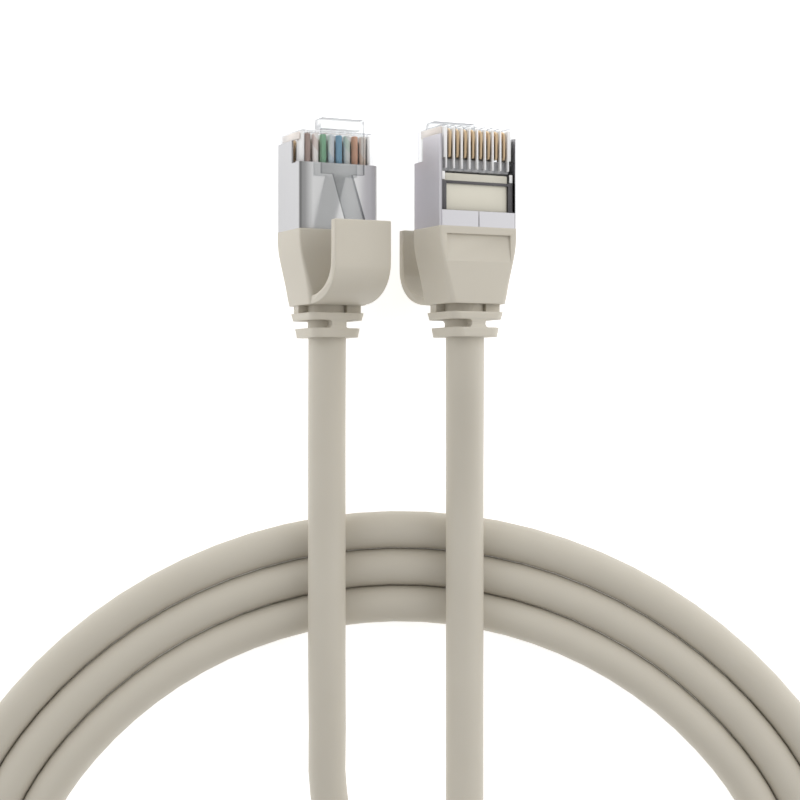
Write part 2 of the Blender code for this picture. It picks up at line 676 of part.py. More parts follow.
def make_coil(mat):
    """Outer shape of the turns: three side by side, two between LEAVE and LAND."""
    d = CORD_D
    sections = []
    start = LAND + LAND_GAP
    end = LAND + 360.0 - LAND_GAP
    leave = LEAVE + 360.0
    degs = list(np.arange(start, leave, 6.0)) + [leave]
    for deg in degs:
        sections.append((deg, -1.5 * d, 1.5 * d))
    for deg in [leave + 0.02] + list(np.arange(leave + 4.0, end, 5.0)) + [end]:
        t = ease((deg - leave - CLOSE[0]) / (CLOSE[1] - CLOSE[0]))
        sections.append((deg, -1.5 * d + d * t, 0.5 * d + d * t))
    rings = []
    r = 0.5 * d
    for deg, lo, hi in sections:
        ring = []
        prof = []
        for k in range(5):
            ang = math.radians(90 - 45 * k)
            prof.append((hi - r + r * math.cos(ang), r + r * math.sin(ang)))
        for k in range(5):
            ang = math.radians(270 - 45 * k)
            prof.append((lo + r + r * math.cos(ang), r + r * math.sin(ang)))
        for off, z in prof:
            x, y = on_turn(deg, off)
            ring.append((x + SHIFT[0], y + SHIFT[1], z + SHIFT[2]))
        rings.append(ring)
    bm = bmesh.new()
    add_loft(bm, rings)
    return mesh_object("cable_coil", bm, mat)


def build():
    clear_scene()
    for tag, axis, turn in (("a", axis_a(), PLUG_TILT), ("b", axis_b(), PLUG_TILT + 180.0)):
        frame = plug_matrix(axis, turn)
        make_housing(tag, frame)
        make_shield(tag, frame)
        make_guide(tag, frame)
        make_contacts(tag, frame)
        make_wires(tag, frame)
        make_sleeve(tag, frame)
        boot = make_boot(tag, frame)
        soften(boot, 0.12, 1, 50.0)
        make_hood(tag, frame)
        make_latch(tag, frame)
    make_tube("cable_run_a", run_a_points(), material("pvc_cable_a", PVC, 0, 0.5))
    make_tube("cable_run_b", run_b_points(), material("pvc_cable_b", PVC, 0, 0.5))
    make_coil(material("pvc_cable_coil", PVC, 0, 0.5))


build()
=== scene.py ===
import json
import math

import bmesh
import bpy
from mathutils import Matrix, Vector


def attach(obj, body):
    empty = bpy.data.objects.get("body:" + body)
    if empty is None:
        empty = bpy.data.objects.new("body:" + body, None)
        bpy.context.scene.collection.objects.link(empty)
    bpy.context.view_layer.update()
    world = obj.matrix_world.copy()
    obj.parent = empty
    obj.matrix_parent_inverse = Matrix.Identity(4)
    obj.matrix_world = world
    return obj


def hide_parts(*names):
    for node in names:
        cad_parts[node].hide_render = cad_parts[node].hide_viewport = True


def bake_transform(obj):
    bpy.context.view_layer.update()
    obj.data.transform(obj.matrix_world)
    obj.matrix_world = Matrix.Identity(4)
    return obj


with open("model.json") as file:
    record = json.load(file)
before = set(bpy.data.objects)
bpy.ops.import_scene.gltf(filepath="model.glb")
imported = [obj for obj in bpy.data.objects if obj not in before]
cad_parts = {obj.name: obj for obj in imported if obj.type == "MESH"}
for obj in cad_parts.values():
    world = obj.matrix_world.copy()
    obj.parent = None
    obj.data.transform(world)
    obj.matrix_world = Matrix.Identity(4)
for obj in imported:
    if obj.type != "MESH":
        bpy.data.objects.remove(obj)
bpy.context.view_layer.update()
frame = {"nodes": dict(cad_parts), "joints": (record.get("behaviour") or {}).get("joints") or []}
mm = 0.001
root = "cable_and_plugs"
joints = {j["name"]: j for j in frame["joints"]}
latchPivot = (28.5, 3.2)


# small tools
def plugFrame(tag):
    # x across the pins, y from the cable exit to the nose, z to the latch
    hinge = joints["latch_%s_press" % tag]
    x = Vector(hinge["axis"]).normalized()
    y = Vector((0.0, 1.0, 0.0))
    z = x.cross(y).normalized()
    spot = Vector(hinge["pos_m"]) - (y * latchPivot[0] + z * latchPivot[1]) * mm
    turn = Matrix((x, y, z)).transposed().to_4x4()
    return Matrix.Translation(spot) @ turn


plugs = {tag: plugFrame(tag) for tag in "ab"}


def newPiece(name, bm, tag=None, mat=None, sharp=35.0):
    bmesh.ops.recalc_face_normals(bm, faces=bm.faces)
    mesh = bpy.data.meshes.new(name)
    bm.to_mesh(mesh)
    bm.free()
    piece = bpy.data.objects.new(name, mesh)
    bpy.context.scene.collection.objects.link(piece)
    if tag:
        piece.matrix_world = plugs[tag]
    if mat:
        mesh.materials.append(mat)
    mesh.shade_smooth()
    mesh.set_sharp_from_angle(angle=math.radians(sharp))
    return piece


def addLoft(bm, rings):
    rows = [[bm.verts.new(Vector(p) * mm) for p in ring] for ring in rings]
    n = len(rings[0])
    for low, high in zip(rows[:-1], rows[1:]):
        for i in range(n):
            j = (i + 1) % n
            bm.faces.new((low[i], low[j], high[j], high[i]))
    bm.faces.new(list(reversed(rows[0])))
    bm.faces.new(rows[-1])
    return bm


def addBox(bm, x, y, z):
    ring = [(x[0], z[0]), (x[1], z[0]), (x[1], z[1]), (x[0], z[1])]
    return addLoft(bm, [[(p[0], yy, p[1]) for p in ring] for yy in y])


def acrossX(points, halfWidth, centre=0.0):
    rings = [[(centre + s * halfWidth, p[0], p[1]) for p in points] for s in (-1, 1)]
    return addLoft(bmesh.new(), rings)


def alongY(points, y0, y1):
    return addLoft(bmesh.new(), [[(p[0], y, p[1]) for p in points] for y in (y0, y1)])


def roundedOutline(w, t, r, steps):
    pts = []
    for sx, sz, start in ((1, 1, 0), (-1, 1, 90), (-1, -1, 180), (1, -1, 270)):
        for k in range(steps + 1):
            a = math.radians(start + 90.0 * k / steps)
            pts.append((sx * (w / 2 - r) + r * math.cos(a), sz * (t / 2 - r) + r * math.sin(a)))
    return pts


def smoothThrough(points, count):
    # a soft curve through the points; count is the steps for each gap, or their length in mm
    pts = [Vector(p) for p in points]
    pts = [2 * pts[0] - pts[1]] + pts + [2 * pts[-1] - pts[-2]]
    out = []
    for i in range(1, len(pts) - 2):
        a, b, c, e = pts[i - 1:i + 3]
        n = count if isinstance(count, int) else max(1, int(round((c - b).length / count)))
        for k in range(n):
            t = k / n
            out.append(0.5 * (2 * b + (c - a) * t + (2 * a - 5 * b + 4 * c - e) * t ** 2
                              + (3 * b - a - 3 * c + e) * t ** 3))
    out.append(pts[-2])
    return out


def applyModifiers(piece):
    graph = bpy.context.evaluated_depsgraph_get()
    baked = bpy.data.meshes.new_from_object(piece.evaluated_get(graph))
    old = piece.data
    piece.modifiers.clear()
    piece.data = baked
    bpy.data.meshes.remove(old)


def carve(piece, cutters):
    # takes each cutter's shape out of the piece, then throws the cutter away
    tools = []
    for k, bm in enumerate(cutters):
        tool = newPiece("tool%d" % k, bm)
        tool.matrix_world = piece.matrix_world
        tools.append(tool)
        mod = piece.modifiers.new("carve%d" % k, "BOOLEAN")
        mod.operation = "DIFFERENCE"
        mod.solver = "EXACT"
        mod.object = tool
    bpy.context.view_layer.update()
    applyModifiers(piece)
    for tool in tools:
        bpy.data.objects.remove(tool, do_unlink=True)


def roundEdges(piece, width, segments, angle, sharp=45.0):
    mod = piece.modifiers.new("rounded", "BEVEL")
    mod.width = width * mm
    mod.segments = segments
    mod.limit_method = "ANGLE"
    mod.angle_limit = math.radians(angle)
    mod.use_clamp_overlap = True
    mod.harden_normals = True
    bpy.context.view_layer.update()
    applyModifiers(piece)
    piece.data.shade_smooth()
    piece.data.set_sharp_from_angle(angle=math.radians(sharp))


def flatten(piece):
    # normals follow the large faces, so that sheet metal mirrors flat
    mod = piece.modifiers.new("flat", "WEIGHTED_NORMAL")
    mod.mode = "FACE_AREA"
    mod.weight = 100
    mod.keep_sharp = True
    bpy.context.view_layer.update()
    applyModifiers(piece)


# materials
def startMaterial(name):
    mat = bpy.data.materials.new(name)
    mat.use_nodes = True
    return mat, mat.node_tree, mat.node_tree.nodes["Principled BSDF"]


def ownCoords(tree):
    return tree.nodes.new("ShaderNodeTexCoord").outputs["Object"]


def noise(tree, coords, scale, detail=2.0):
    tex = tree.nodes.new("ShaderNodeTexNoise")
    tex.inputs["Scale"].default_value = scale
    tex.inputs["Detail"].default_value = detail
    tex.inputs["Roughness"].default_value = 0.5
    tree.links.new(coords, tex.inputs["Vector"])
    return tex


def colourMix(tree, first=None, second=None):
    mix = tree.nodes.new("ShaderNodeMix")
    mix.data_type = "RGBA"
    for slot, colour in ((6, first), (7, second)):
        if colour:
            mix.inputs[slot].default_value = (*colour, 1.0)
    return mix


def spread(tree, value, low, high):
    ramp = tree.nodes.new("ShaderNodeMapRange")
    ramp.inputs["To Min"].default_value = low
    ramp.inputs["To Max"].default_value = high
    tree.links.new(value, ramp.inputs["Value"])
    return ramp.outputs["Result"]


def bumpOn(tree, shader, height, strength, distance):
    bump = tree.nodes.new("ShaderNodeBump")
    bump.inputs["Strength"].default_value = strength
    bump.inputs["Distance"].default_value = distance
    tree.links.new(height, bump.inputs["Height"])
    tree.links.new(bump.outputs["Normal"], shader.inputs["Normal"])


pvcLook = {"colour": (0.585, 0.545, 0.465), "darker": (0.545, 0.505, 0.428), "cloud": 90.0,
           "cloudSpread": (-0.2, 1.2), "grain": 2600.0, "rough": (0.4, 0.54), "specular": 0.42,
           "depth": 0.06, "depthRadius": (0.9, 0.75, 0.5), "depthScale": 0.0008,
           "bump": 0.25, "bumpHeight": 0.00002}


def pvcMaterial(name, tint=1.0):
    mat, tree, shader = startMaterial(name)
    coords = ownCoords(tree)
    cloud = noise(tree, coords, pvcLook["cloud"], 3.0)
    grain = noise(tree, coords, pvcLook["grain"])
    mix = colourMix(tree, [c * tint for c in pvcLook["darker"]], [c * tint for c in pvcLook["colour"]])
    tree.links.new(spread(tree, cloud.outputs["Fac"], *pvcLook["cloudSpread"]), mix.inputs[0])
    tree.links.new(mix.outputs[2], shader.inputs["Base Color"])
    tree.links.new(spread(tree, grain.outputs["Fac"], *pvcLook["rough"]), shader.inputs["Roughness"])
    shader.inputs["Specular IOR Level"].default_value = pvcLook["specular"]
    shader.inputs["Subsurface Weight"].default_value = pvcLook["depth"]
    shader.inputs["Subsurface Radius"].default_value = pvcLook["depthRadius"]
    shader.inputs["Subsurface Scale"].default_value = pvcLook["depthScale"]
    bumpOn(tree, shader, grain.outputs["Fac"], pvcLook["bump"], pvcLook["bumpHeight"])
    return mat


def rampNode(tree, stops):
    ramp = tree.nodes.new("ShaderNodeValToRGB")
    marks = ramp.color_ramp.elements
    while len(marks) < len(stops):
        marks.new(0.5)
    for mark, (place, value) in zip(marks, stops):
        mark.position = place
        mark.color = (*value, 1.0) if isinstance(value, tuple) else (value, value, value, 1.0)
    return ramp


def axisShare(tree, coords, axis, low, high):
    # 0 to 1 along one of the piece's own axes, ends in mm
    split = tree.nodes.new("ShaderNodeSeparateXYZ")
    tree.links.new(coords, split.inputs[0])
    share = tree.nodes.new("ShaderNodeMapRange")
    share.inputs["From Min"].default_value = low * mm
    share.inputs["From Max"].default_value = high * mm
    tree.links.new(split.outputs[axis], share.inputs["Value"])
    return share.outputs["Result"]


metalLook = {"smear": 220.0, "roughShare": (0.75, 1.35), "bumpHeight": 0.00001}
shieldPaintedShade = {
    # painted reflection and shade, each face of the shield lighter or darker: sides: the two narrow
    # sides at the ends, the contact face between; across: the latch face
    "sides": ((0.0, (0.48, 0.48, 0.49)), (0.02, (0.48, 0.48, 0.49)), (0.035, (0.81, 0.8, 0.83)),
              (0.965, (0.81, 0.8, 0.83)), (0.98, (0.74, 0.72, 0.76)), (1.0, (0.74, 0.72, 0.76))),
    "across": ((0.0, 0.3), (0.07, 0.4), (0.17, 0.8), (0.42, 0.8), (0.6, 0.93), (0.9, 0.98),
               (0.97, 0.85), (1.0, 0.3)),
    "width": (-5.85, 5.85), "latchFace": (3.6, 3.75),
    "dullFrom": 0.965, "dullTo": 0.98, "dullRough": 0.28,
}


def metalMaterial(name, colour, rough, stretch=(1.0, 0.05, 1.0), scale=3000.0, bump=0.08, face=None):
    mat, tree, shader = startMaterial(name)
    coords = ownCoords(tree)
    mapping = tree.nodes.new("ShaderNodeMapping")
    mapping.inputs["Scale"].default_value = stretch
    tree.links.new(coords, mapping.inputs["Vector"])
    drawn = noise(tree, mapping.outputs["Vector"], scale)
    smear = noise(tree, coords, metalLook["smear"], 3.0)
    shader.inputs["Base Color"].default_value = (*colour, 1.0)
    shader.inputs["Metallic"].default_value = 1.0
    if face:
        # painted reflection and shade: each face of the shield gets its own brightness
        share = axisShare(tree, coords, "X", *face["width"])
        sides = rampNode(tree, face["sides"])
        across = rampNode(tree, face["across"])
        mix = colourMix(tree)
        tree.links.new(share, sides.inputs["Fac"])
        tree.links.new(share, across.inputs["Fac"])
        tree.links.new(axisShare(tree, coords, "Z", *face["latchFace"]), mix.inputs[0])
        tree.links.new(sides.outputs["Color"], mix.inputs[6])
        tree.links.new(across.outputs["Color"], mix.inputs[7])
        tree.links.new(mix.outputs[2], shader.inputs["Base Color"])
    rougher = spread(tree, smear.outputs["Fac"], *[rough * v for v in metalLook["roughShare"]])
    if face:
        # one narrow side is brushed duller
        dull = tree.nodes.new("ShaderNodeMapRange")
        dull.inputs["From Min"].default_value = face["dullFrom"]
        dull.inputs["From Max"].default_value = face["dullTo"]
        dull.inputs["To Max"].default_value = face["dullRough"]
        tree.links.new(share, dull.inputs["Value"])
        add = tree.nodes.new("ShaderNodeMath")
        tree.links.new(rougher, add.inputs[0])
        tree.links.new(dull.outputs["Result"], add.inputs[1])
        rougher = add.outputs[0]
    tree.links.new(rougher, shader.inputs["Roughness"])
    bumpOn(tree, shader, drawn.outputs["Fac"], bump, metalLook["bumpHeight"])
    return mat


clearLook = {"gloss": 0.05, "facing": 0.015, "shine": 0.45, "power": 5.0, "ripple": 0.02,
             "rippleScale": 500.0, "rippleHeight": 0.00004}
bodyTint = ((0.1, (0.985, 0.985, 0.985)), (0.7, (0.93, 0.935, 0.94)), (0.9, (0.62, 0.63, 0.65)),
            (1.0, (0.35, 0.36, 0.38)))
latchTint = ((0.1, (0.97, 0.975, 0.975)), (0.5, (0.88, 0.89, 0.895)), (0.8, (0.5, 0.51, 0.53)),
             (1.0, (0.25, 0.26, 0.28)))
latchAlong = {"ends": (14.0, 30.0),
              "stops": ((0.0, 0.84), (0.49, 0.84), (0.53, 0.9), (0.61, 0.9), (0.64, 0.98), (1.0, 1.0))}


def clearMaterial(name, stops, along=None):
    # stops: tint from square on to edge on; along: tint from the cable's end to the nose
    mat, tree, shader = startMaterial(name)
    tree.nodes.remove(shader)
    out = tree.nodes["Material Output"]
    facing = tree.nodes.new("ShaderNodeLayerWeight")
    facing.inputs["Blend"].default_value = 0.5
    tint = rampNode(tree, stops)
    tree.links.new(facing.outputs["Facing"], tint.inputs["Fac"])
    seeThrough = tree.nodes.new("ShaderNodeBsdfTransparent")
    coords = ownCoords(tree)
    if along:
        shade = rampNode(tree, along["stops"])
        tree.links.new(axisShare(tree, coords, "Y", *along["ends"]), shade.inputs["Fac"])
        both = colourMix(tree)
        both.blend_type = "MULTIPLY"
        both.inputs[0].default_value = 1.0
        tree.links.new(tint.outputs["Color"], both.inputs[6])
        tree.links.new(shade.outputs["Color"], both.inputs[7])
        tree.links.new(both.outputs[2], seeThrough.inputs["Color"])
    else:
        tree.links.new(tint.outputs["Color"], seeThrough.inputs["Color"])
    gloss = tree.nodes.new("ShaderNodeBsdfGlossy")
    gloss.inputs["Color"].default_value = (1.0, 1.0, 1.0, 1.0)
    gloss.inputs["Roughness"].default_value = clearLook["gloss"]
    ripple = noise(tree, coords, clearLook["rippleScale"])
    bumpOn(tree, gloss, ripple.outputs["Fac"], clearLook["ripple"], clearLook["rippleHeight"])
    steep = tree.nodes.new("ShaderNodeMath")
    steep.operation = "POWER"
    steep.inputs[1].default_value = clearLook["power"]
    tree.links.new(facing.outputs["Facing"], steep.inputs[0])
    blend = tree.nodes.new("ShaderNodeMixShader")
    tree.links.new(spread(tree, steep.outputs[0], clearLook["facing"], clearLook["shine"]),
                   blend.inputs["Fac"])
    tree.links.new(seeThrough.outputs["BSDF"], blend.inputs[1])
    tree.links.new(gloss.outputs["BSDF"], blend.inputs[2])
    tree.links.new(blend.outputs["Shader"], out.inputs["Surface"])
    return mat


# each conductor's insulation, and its stripe where it has one
pairLook = {
    1: ((0.92, 0.86, 0.80), (0.88, 0.72, 0.60)),
    2: ((0.80, 0.44, 0.29), None),
    3: ((0.90, 0.92, 0.89), (0.72, 0.85, 0.74)),
    4: ((0.26, 0.52, 0.72), None),
    5: ((0.90, 0.92, 0.94), (0.70, 0.79, 0.88)),
    6: ((0.32, 0.64, 0.39), None),
    7: ((0.90, 0.85, 0.82), (0.76, 0.65, 0.61)),
    8: ((0.42, 0.31, 0.27), None),
}
wireLook = {"cloud": 700.0, "shade": 0.85, "stripes": 130.0, "stripeEdge": (0.72, 0.8), "rough": 0.38,
            "bump": 0.1, "bumpHeight": 0.00002}


def wireMaterial(pin):
    base, stripe = pairLook[pin]
    mat, tree, shader = startMaterial("pair%d" % pin)
    coords = ownCoords(tree)
    cloud = noise(tree, coords, wireLook["cloud"])
    mix = colourMix(tree, base, stripe or [c * wireLook["shade"] for c in base])
    if stripe:
        wave = tree.nodes.new("ShaderNodeTexWave")
        wave.bands_direction = "DIAGONAL"
        wave.inputs["Scale"].default_value = wireLook["stripes"]
        tree.links.new(coords, wave.inputs["Vector"])
        band = tree.nodes.new("ShaderNodeMapRange")
        band.inputs["From Min"].default_value = wireLook["stripeEdge"][0]
        band.inputs["From Max"].default_value = wireLook["stripeEdge"][1]
        tree.links.new(wave.outputs["Fac"], band.inputs["Value"])
        tree.links.new(band.outputs["Result"], mix.inputs[0])
    else:
        tree.links.new(cloud.outputs["Fac"], mix.inputs[0])
    tree.links.new(mix.outputs[2], shader.inputs["Base Color"])
    shader.inputs["Roughness"].default_value = wireLook["rough"]
    bumpOn(tree, shader, cloud.outputs["Fac"], wireLook["bump"], wireLook["bumpHeight"])
    return mat


# moulded inserts, and the dark sheets of painted shade round the window: two shades each
guideLook = {
    "creamGuide": ((0.70, 0.665, 0.565), (0.66, 0.63, 0.53)),
    "paleComb": ((0.93, 0.92, 0.91), (0.88, 0.87, 0.86)),
    "greyBar": ((0.52, 0.52, 0.53), (0.44, 0.44, 0.45)),
    # painted shade: dark colour for the sheets round the window
    "paintedShadeRim": ((0.10, 0.095, 0.10), (0.07, 0.065, 0.07)),
    "peachTint": ((0.92, 0.82, 0.74), (0.90, 0.84, 0.79)),
    "cloud": 260.0, "rough": 0.4, "bump": 0.08, "bumpHeight": 0.00003,
}


def guideMaterial(name):
    mat, tree, shader = startMaterial(name)
    cloud = noise(tree, ownCoords(tree), guideLook["cloud"])
    mix = colourMix(tree, *guideLook[name])
    tree.links.new(cloud.outputs["Fac"], mix.inputs[0])
    tree.links.new(mix.outputs[2], shader.inputs["Base Color"])
    shader.inputs["Roughness"].default_value = guideLook["rough"]
    bumpOn(tree, shader, cloud.outputs["Fac"], guideLook["bump"], guideLook["bumpHeight"])
    return mat


pvcBoot = pvcMaterial("pvcBoot")
pvcCable = pvcMaterial("pvcCable", 0.97)
nickel = metalMaterial("nickelSheet", (0.86, 0.85, 0.88), 0.17, bump=0.02, face=shieldPaintedShade)
nickelInside = metalMaterial("nickelInside", (0.55, 0.55, 0.57), 0.3)
gold = metalMaterial("goldPlate", (0.80, 0.60, 0.38), 0.3, (1.0, 1.0, 0.1), 2500.0)
clearBody = clearMaterial("clearHousing", bodyTint)
clearLatch = clearMaterial("clearLatch", latchTint, latchAlong)
creamGuide = guideMaterial("creamGuide")
paleComb = guideMaterial("paleComb")
greyBar = guideMaterial("greyBar")
paintedShadeRim = guideMaterial("paintedShadeRim")
peachTint = guideMaterial("peachTint")
pairs = {pin: wireMaterial(pin) for pin in range(1, 9)}


# camera
cameraSpot = {"place": (0.635, -23.52, 253.6), "lens": 79.29, "sensor": 36.0}
cam = bpy.data.cameras.new("cameraOver")
cam.lens = cameraSpot["lens"]
cam.sensor_width = cameraSpot["sensor"]
cam.clip_start = 0.01
camera = bpy.data.objects.new("cameraOver", cam)
camera.location = [v * mm for v in cameraSpot["place"]]
bpy.context.scene.collection.objects.link(camera)
bpy.context.scene.camera = camera


# cable: both runs and the coil in one length, angles clockwise from the far side of the coil
cable = {
    "diameter": 5.25, "gap": 0.12, "inBoot": 1.0, "straight": 4.0, "step": 3.5,
    "turnRadius": 65.4, "sideRadius": 45.0, "sideFrom": 46.0, "sideBlend": 12.0, "topY": -23.65,
    "leave": 95.0, "land": 180.0, "turns": 3,
    "landTurn": 0.1, "landAside": 0.3, "coilAfterLand": 3.0, "coilBeforeLeave": 2.0, "coilStep": 4.0,
    "climb": ((0.4, 0.0), (3.5, 0.06)), "changeAfter": 10.0, "changeOver": 55.0,
    "shift": (0.635, -23.52, 0.0),
    "exitA": (-10.15, 8.66, 7.9), "exitB": (8.88, 8.58, 12.634),
    "routeA": (
        (-10.2, -4.0, 7.95), (-10.2, -15.0, 8.0), (-10.2, -25.0, 8.0), (-10.2, -35.0, 7.84),
        (-10.2, -46.0, 6.28), (-10.1, -55.5, 4.18), (-7.6, -66.5, 2.79), (0.6, -75.4, 2.63),
        (10.4, -81.2, 2.63), (18.6, -89.0, 2.63), (22.1, -100.0, 2.63), (19.6, -112.0, 2.63),
        (11.6, -120.4, 2.63), (5.5, -123.3, 2.63),
    ),
    "routeB": (
        (65.3, -89.0, 4.0), (62.4, -97.5, 6.8), (57.4, -105.6, 8.2), (50.0, -112.4, 8.2),
        (40.3, -116.3, 8.2), (30.0, -116.1, 8.2), (20.6, -112.1, 8.2), (13.4, -104.8, 8.2),
        (9.6, -95.4, 8.2), (9.0, -85.0, 8.2), (9.0, -74.0, 8.2), (9.0, -63.0, 8.2),
        (9.02, -52.0, 8.05), (9.02, -40.0, 7.99), (9.02, -28.0, 7.99), (9.02, -16.0, 8.0),
        (9.0, -9.0, 8.8), (8.95, -2.5, 10.6),
    ),
}


def ease(t):
    t = min(max(t, 0.0), 1.0)
    return t * t * (3 - 2 * t)


def turnRadius(deg):
    # the coil is a little tighter at its two sides
    d = abs(deg) % 180.0
    d = min(d, 180.0 - d)
    k = ease((d - cable["sideFrom"]) / cable["sideBlend"])
    return cable["turnRadius"] * (1 - k) + cable["sideRadius"] * k


turnPoints = [(0.0, cable["topY"])]
for deg in range(360):
    heading = math.radians(deg + 0.5)
    step = turnRadius(deg + 0.5) * math.radians(1.0)
    x, y = turnPoints[-1]
    turnPoints.append((x + step * math.cos(heading), y - step * math.sin(heading)))


def onTurn(deg, offset):
    # a place on the middle turn, moved outward by offset
    i = int(deg % 360.0)
    f = deg % 360.0 - i
    x = turnPoints[i][0] * (1 - f) + turnPoints[i + 1][0] * f
    y = turnPoints[i][1] * (1 - f) + turnPoints[i + 1][1] * f
    a = math.radians(deg)
    return x + offset * math.sin(a), y + offset * math.cos(a)


def cablePoints():
    d = cable["diameter"]
    ax, ay, az = cable["exitA"]
    bx, by, bz = cable["exitB"]
    landX, landY = onTurn(cable["land"] + cable["landTurn"], -d)
    runA = [(ax, ay + cable["inBoot"], az)] + list(cable["routeA"])
    runA = smoothThrough(runA + [(landX + cable["landAside"], landY, d / 2)], cable["step"])
    runB = []
    for turn, rise in cable["climb"]:
        x, y = onTurn(cable["leave"] + turn, d + cable["gap"])
        runB.append((x, y, d / 2 + rise))
    runB += list(cable["routeB"])
    runB += [(bx, by - cable["straight"], bz), (bx, by + cable["inBoot"], bz)]
    runB = smoothThrough(runB, cable["step"])
    coil = []
    last = cable["leave"] + 360.0 * cable["turns"] - cable["coilBeforeLeave"]
    deg = cable["land"] + cable["coilAfterLand"]
    while deg < last:
        # each turn moves out by one diameter, a little after the place where run B leaves
        offset = -d
        for k in range(1, cable["turns"]):
            change = cable["leave"] + cable["changeAfter"] + 360.0 * k
            offset += d * ease((deg - change) / cable["changeOver"])
        x, y = onTurn(deg, offset)
        coil.append(Vector((x, y, d / 2)))
        deg += cable["coilStep"]
    return [(p + Vector(cable["shift"])) * mm for p in runA + coil + runB]


def makeCable():
    points = cablePoints()
    curve = bpy.data.curves.new("cableJacket", "CURVE")
    curve.dimensions = "3D"
    curve.bevel_depth = cable["diameter"] / 2 * mm
    curve.bevel_resolution = 10
    curve.use_fill_caps = True
    spline = curve.splines.new("POLY")
    spline.points.add(len(points) - 1)
    for spot, p in zip(spline.points, points):
        spot.co = (*p, 1.0)
    spline.use_smooth = True
    curve.materials.append(pvcCable)
    piece = bpy.data.objects.new("cableJacket", curve)
    bpy.context.scene.collection.objects.link(piece)
    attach(piece, root)
    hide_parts("cable_run_a", "cable_run_b", "cable_coil")


makeCable()


# boot and strain relief
boot = {
    "length": 14.75, "rings": 44, "soften": 0.45,
    "widths": ((0.0, 6.8), (2.35, 8.0), (3.35, 8.4), (4.45, 8.6), (7.6, 9.6), (10.4, 10.95),
               (12.6, 11.8), (14.75, 11.75)),
    "thick": ((0.0, 7.8), (2.35, 8.1), (4.45, 8.5), (7.6, 8.4), (10.4, 8.25), (12.6, 8.15),
              (14.75, 8.0)),
    "corner": ((0.0, 1.6), (3.35, 1.5), (4.45, 0.9), (7.6, 0.6), (10.4, 0.4), (12.6, 0.3),
               (14.75, 0.25)),
    "coreRadius": 2.7, "web": 1.0, "cornerWebX": (1.8, 3.9), "cornerWebZ": (1.05, 2.75),
    "webStep": 0.25, "slotEnd": 0.45, "firstSlot": (3.35, 4.45), "secondSlot": (1.25, 2.35),
    "socket": (9.24, 6.44), "socketY": (9.8, 16.0),
    "panelWidth": 9.75, "panelY": (9.9, 13.75), "panelDepth": 0.42, "panelLip": 0.02,
    "edge": 0.12,
}
beyond = 9


def between(table, y):
    for (y0, v0), (y1, v1) in zip(table[:-1], table[1:]):
        if y <= y1:
            t = (y - y0) / (y1 - y0)
            return v0 + (v1 - v0) * t
    return table[-1][1]


def softened(table, y):
    # the mean over a short stretch, so that the sides bend gently
    spots = [min(max(y + k * boot["soften"], 0.0), boot["length"]) for k in range(-3, 4)]
    return sum(between(table, spot) for spot in spots) / len(spots)


def coreArc(start, stop, steps):
    # round the core that the slots leave, from one angle to the other
    r = boot["coreRadius"]
    turns = [start + (stop - start) * k / steps for k in range(steps + 1)]
    return [(r * math.cos(a), r * math.sin(a)) for a in turns]


def bootSlots():
    # cutters for both pairs of strain-relief slots
    cutters = []
    x0, x1 = boot["cornerWebX"]
    z0, z1 = boot["cornerWebZ"]
    step = z0 - boot["webStep"]
    r = boot["coreRadius"]
    corner = [(x0, z1), (x1, z1), (x1, step), (beyond, step), (beyond, beyond), (-beyond, beyond),
              (-beyond, -z0)] + coreArc(math.pi + math.asin(z0 / r), math.acos(x0 / r), 24)
    low, high = boot["secondSlot"]
    for sign in (1, -1):
        cutters.append(alongY([(sign * x, sign * z) for x, z in corner], *boot["firstSlot"]))
        rings = []
        for k in range(9):
            # the slot's inner end is rounded
            t = 1 - math.cos(math.pi * k / 8)
            web = boot["web"] + boot["slotEnd"] * (1 - math.sqrt(max(0.0, 1 - (t - 1) ** 2)))
            start = math.acos(web / r)
            ring = [(web, beyond), (beyond, beyond), (beyond, -beyond), (web, -beyond)]
            ring += coreArc(-start, start, 20)
            rings.append([(sign * x, low + (high - low) * t / 2, z) for x, z in ring])
        cutters.append(addLoft(bmesh.new(), rings))
    return cutters


def makeBoot(tag):
    rings = []
    for k in range(boot["rings"] + 1):
        y = boot["length"] * k / boot["rings"]
        outline = roundedOutline(*[softened(boot[side], y) for side in ("widths", "thick", "corner")], 7)
        rings.append([(p[0], y, p[1]) for p in outline])
    piece = newPiece("boot_" + tag.upper(), addLoft(bmesh.new(), rings), tag, pvcBoot)
    sw, st = boot["socket"]
    cutters = [addBox(bmesh.new(), (-sw / 2, sw / 2), boot["socketY"], (-st / 2, st / 2))]
    cutters += bootSlots()
    low, top = boot["panelY"]
    zLow = -softened(boot["thick"], low) / 2
    zTop = -softened(boot["thick"], top) / 2
    panel = [(top, zTop - 1), (top, zTop + boot["panelDepth"]), (low, zLow - boot["panelLip"]),
             (low, zLow - 1)]
    cutters.append(acrossX(panel, boot["panelWidth"] / 2))
    carve(piece, cutters)
    roundEdges(piece, boot["edge"], 3, 40.0)
    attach(piece, root)
    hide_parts("boot_" + tag)
    return piece


# latch guard, a strap that is bent back over the latch
hood = {
    "halfWidth": 4.12, "edge": 0.16, "bendFrom": (5.2, 4.2), "bendTo": (6.8, 8.6),
    "outer": ((15.4, 12.05), (12.4, 12.05), (9.6, 12.03), (8.5, 11.8), (7.5, 11.3), (6.6, 10.5),
              (5.75, 9.3), (5.15, 7.9), (4.75, 6.4), (4.55, 5.0), (4.5, 3.7)),
    "inner": ((5.6, 3.7), (5.7, 4.9), (5.95, 6.2), (6.4, 7.6), (7.0, 8.7), (7.75, 9.6), (8.6, 10.2),
              (9.5, 10.5), (12.4, 10.6), (15.4, 10.6)),
}


